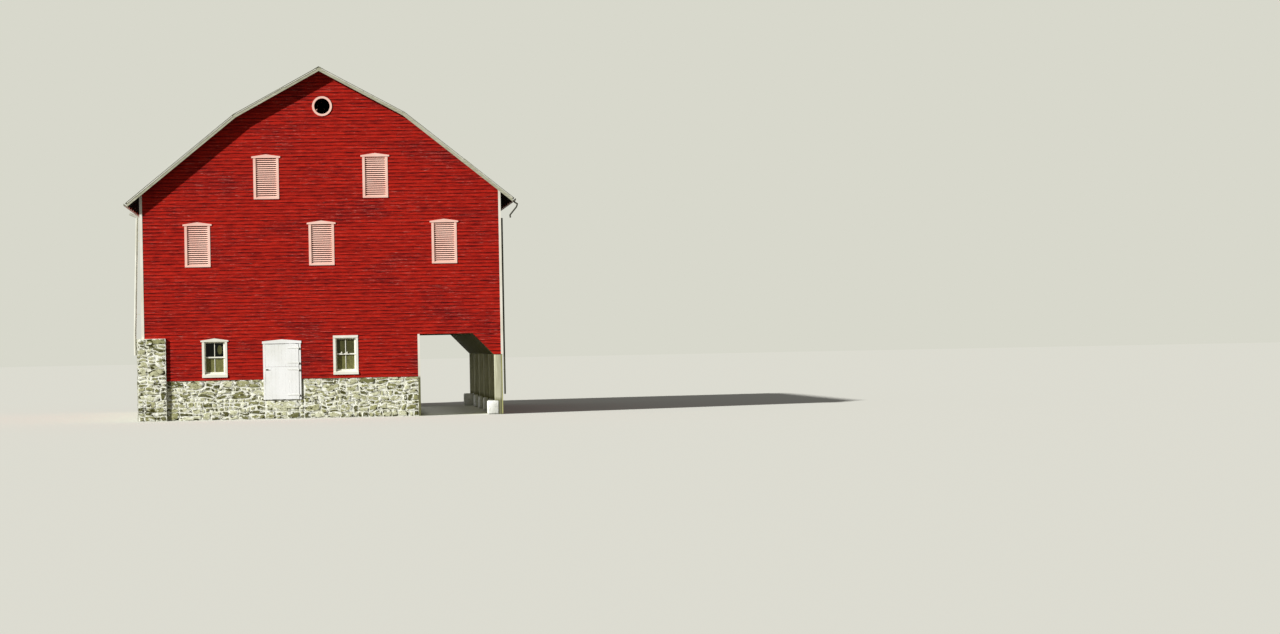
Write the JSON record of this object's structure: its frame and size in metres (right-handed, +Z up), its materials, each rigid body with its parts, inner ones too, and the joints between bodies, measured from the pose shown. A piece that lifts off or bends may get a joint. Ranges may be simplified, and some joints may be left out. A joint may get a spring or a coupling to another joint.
{
  "type": "bank barn",
  "caption": "Gambrel-roofed board barn on a rubble stone base, with a covered passage under its forebay, louvred gable vents, sash windows and a door split into upper and lower leaves.",
  "frame": {"origin": "centre of the plan of the walls and eaves, at the lowest ground the walls stand on; the bent pipe end at the right eave makes the whole box reach 0.08 m further to +X than to -X", "axes": "+X to the right across the front gable, +Y from the front gable to the rear one, +Z up"},
  "size_m": [14.5698, 19.024, 13.0458],
  "materials": {
    "rubble_stone": "rubble laid in pale mortar",
    "whitewashed_stone": "whitewashed",
    "red_boards": "weathered barn red paint",
    "white_trim": "worn white paint",
    "roof_sheet": "weathered standing seam sheet",
    "white_sheet_metal": "dull white paint",
    "olive_sheet_metal": "dull dark paint",
    "black_iron": "blackened",
    "window_glass": "old clear panes",
    "bare_timber": "rough sawn, weathered"
  },
  "bodies": {
    "barn": {"bank_downspout": "white_sheet_metal", "bank_roof_metal": "roof_sheet", "bank_stone_wall": "rubble_stone", "bank_wall": "red_boards", "broken_elbow": "olive_sheet_metal", "corner_boards": "white_trim", "door_casing": "white_trim", "door_pintles": "black_iron", "door_sill": "rubble_stone", "floor_joists": "bare_timber", "forebay_board_wall": "red_boards", "forebay_downspout": "olive_sheet_metal", "forebay_posts": "bare_timber", "forebay_roof_metal": "roof_sheet", "forebay_sill_beam": "bare_timber", "forebay_wall": "red_boards", "frame_beams": "bare_timber", "frame_posts": "bare_timber", "front_louvres": "white_trim", "front_stone_base": "rubble_stone", "front_wall_lower_left": "red_boards", "front_wall_lower_right": "red_boards", "front_wall_middle": "red_boards", "front_wall_peak": "red_boards", "gutters": "white_sheet_metal", "haunch_boards": "bare_timber", "post_footings": "whitewashed_stone", "rafter_tails": "bare_timber", "rafters": "bare_timber", "rake_boards": "white_trim", "rear_louvres": "white_trim", "rear_stone_base": "rubble_stone", "rear_wall": "red_boards", "ridge_cap": "roof_sheet", "roof_deck": "bare_timber", "roof_timbers": "bare_timber", "round_vent_rings": "white_trim", "stable_posts": "bare_timber", "stable_stone_base": "rubble_stone", "stable_wall": "red_boards", "summer_beams": "bare_timber", "upper_floor": "bare_timber", "window_frames": "white_trim", "window_glass": "window_glass", "window_sashes": "white_trim"},
    "upper_door_leaf": {"upper_leaf_boards": "white_trim", "upper_leaf_straps": "black_iron"},
    "lower_door_leaf": {"lower_leaf_boards": "white_trim", "lower_leaf_irons": "black_iron"}
  },
  "joints": [
    {"name": "upper_leaf_hinge", "type": "hinge", "parent": "barn", "child": "upper_door_leaf", "pos_m": [-0.918, -9.21, 2.345], "axis": [0, 0, 1], "range_deg": [0, 150]},
    {"name": "lower_leaf_hinge", "type": "hinge", "parent": "barn", "child": "lower_door_leaf", "pos_m": [-0.918, -9.21, 1.35], "axis": [0, 0, 1], "range_deg": [0, 150]}
  ]
}
